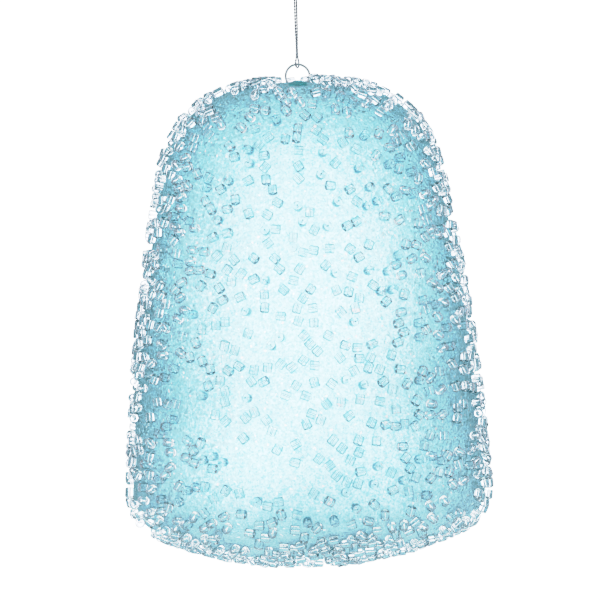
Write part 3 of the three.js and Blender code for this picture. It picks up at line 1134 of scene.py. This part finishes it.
def area_light(name, power, size, place):
    data = bpy.data.lights.new(name, "AREA")
    data.energy = power
    data.shape = "RECTANGLE"
    data.size, data.size_y = size
    lamp = bpy.data.objects.new(name, data)
    # The beads let lamplight straight through already, so it isn't gathered a second time.
    lamp.visible_transmission = False
    bpy.context.scene.collection.objects.link(lamp)
    lamp.location = place
    aim = LAMPS_AIM - Vector(place)
    lamp.rotation_euler = aim.to_track_quat("-Z", "Y").to_euler()
    return lamp


POOL_DISTANCE = 1.6


def pool_light(name, power, half_size, middle, colour=(1, 1, 1)):
    """A soft oval pool of light on the front of the body."""
    (half_width, half_height), (right, raised) = half_size, middle
    data = bpy.data.lights.new(name, "SPOT")
    data.energy = power
    data.color = colour
    data.spot_size = 2 * math.atan(half_width / POOL_DISTANCE)
    data.spot_blend = 1.0
    data.shadow_soft_size = 0.01
    lamp = bpy.data.objects.new(name, data)
    bpy.context.scene.collection.objects.link(lamp)
    aim = Vector((right, 0, (COAT_LOW.z + COAT_HIGH.z) / 2 + raised))
    lamp.location = aim + Vector((0, -POOL_DISTANCE, 0))
    lamp.rotation_euler = (aim - lamp.location).to_track_quat("-Z", "Y").to_euler()
    lamp.scale = (1, half_height / half_width, 1)
    lamp.visible_glossy = False
    lamp.visible_transmission = False


SKY_FOR_CAMERA = (2.5, 2.5, 2.5)
BACKDROP = (2.6, 2.6, 2.9)
DARK_ROOM = (0.55, 0.72, 0.82)
# Light that has been about among the granules and beads comes back cool.
BACKDROP_AS_LIGHT = (0.28, 0.66, 0.66)
DARK_ROOM_AS_LIGHT = (0.02, 0.03, 0.03)
SKY_IN_REFLECTIONS = (0.07, 0.11, 0.13)
BACKDROP_IN_REFLECTIONS = (0.4, 0.48, 0.55)
# Where the room passes into the backdrop, as the Y of a direction.
WIDE_BACKDROP = (-0.35, 0.25)
BACKDROP_SPAN = (-0.1, 0.6)


def make_sky():
    """A photo studio: a white backdrop behind the object, and a darker room in front."""
    world = bpy.data.worlds.new("studio")
    bpy.context.scene.world = world
    world.use_nodes = True
    tree = world.node_tree
    path = node(tree, "ShaderNodeLightPath").outputs
    direction = node(tree, "ShaderNodeTexCoord").outputs["Generated"]
    back = node(tree, "ShaderNodeSeparateXYZ", {"Vector": direction}).outputs["Y"]
    wide, narrow = (
        mapped(tree, back, *span, curve="SMOOTHSTEP") for span in (WIDE_BACKDROP, BACKDROP_SPAN)
    )
    as_light = mixed(tree, wide, DARK_ROOM_AS_LIGHT, BACKDROP_AS_LIGHT)
    seen = mixed(tree, narrow, DARK_ROOM, BACKDROP)
    scattered = maths(tree, "MINIMUM", path["Diffuse Depth"], 1.0)
    seen = mixed(tree, scattered, seen, as_light)
    reflected = mixed(tree, narrow, SKY_IN_REFLECTIONS, BACKDROP_IN_REFLECTIONS)
    shown = mixed(tree, path["Is Glossy Ray"], as_light, reflected)
    shown = mixed(tree, path["Is Singular Ray"], shown, seen)
    shown = mixed(tree, path["Is Transmission Ray"], shown, seen)
    shown = mixed(tree, path["Is Camera Ray"], shown, SKY_FOR_CAMERA)
    background = tree.nodes["Background"]
    tree.links.new(shown, background.inputs["Color"])
    background.inputs["Strength"].default_value = 1.0


make_floor()
make_sky()
area_light("front_softbox", 7, (1.0, 1.0), (0.0, -1.7, -0.25)).visible_glossy = False
pool_light("front_pool", 220, (0.064, 0.086), (-0.0015, 0.014), (0.88, 1.0, 1.02))
pool_light("middle_pool", 90, (0.043, 0.058), (-0.001, 0.004), (1.65, 1.0, 0.93))
pool_light("low_left_pool", 150, (0.036, 0.02), (-0.028, -0.039), (1.1, 1.0, 1.0))
pool_light("low_right_pool", 125, (0.034, 0.02), (0.03, -0.04), (1.1, 1.0, 1.0))
# These pass beside the hanging body and light it when it swings out.
pool_light("left_swing_pool", 250, (0.05, 0.065), (-0.092, 0.005))
pool_light("right_swing_pool", 250, (0.05, 0.065), (0.092, 0.005))
area_light("front_strip", 0.5, (0.12, 0.9), (0.35, -1.5, 0.1))
area_light("left_strip", 0.4, (0.25, 0.9), (-1.1, -0.5, 0.1))
area_light("right_strip", 1.2, (0.25, 0.9), (1.1, -0.5, 0.1))
area_light("top_softbox", 2.6, (0.6, 0.6), (0.0, 0.35, 1.0))
area_light("back_softbox", 8, (0.8, 0.8), (0.0, 1.7, -0.1)).visible_camera = False

BRIGHTEST = 2.4
# Display level against light: straight up to the knee, then a soft shoulder.
TONE_KNEE = 0.7
TONE_SHOULDER = 0.62
TONE_STOPS = [TONE_KNEE, 0.8, 0.95, 1.15, 1.4, 1.75, 2.1]


def set_tone():
    """A plain view with a soft shoulder, so that pale wet-looking surfaces keep their colour."""
    view = bpy.context.scene.view_settings
    view.view_transform = "Standard"
    view.use_curve_mapping = True
    mapping = view.curve_mapping
    mapping.white_level = (BRIGHTEST, BRIGHTEST, BRIGHTEST)
    curve = mapping.curves[3]
    room = 1 - TONE_KNEE
    for light in TONE_STOPS:
        shown = TONE_KNEE + room * (1 - math.exp(-(light - TONE_KNEE) / TONE_SHOULDER))
        curve.points.new(light / BRIGHTEST, shown)
    for point in curve.points:
        point.handle_type = "VECTOR"
    mapping.update()


set_tone()
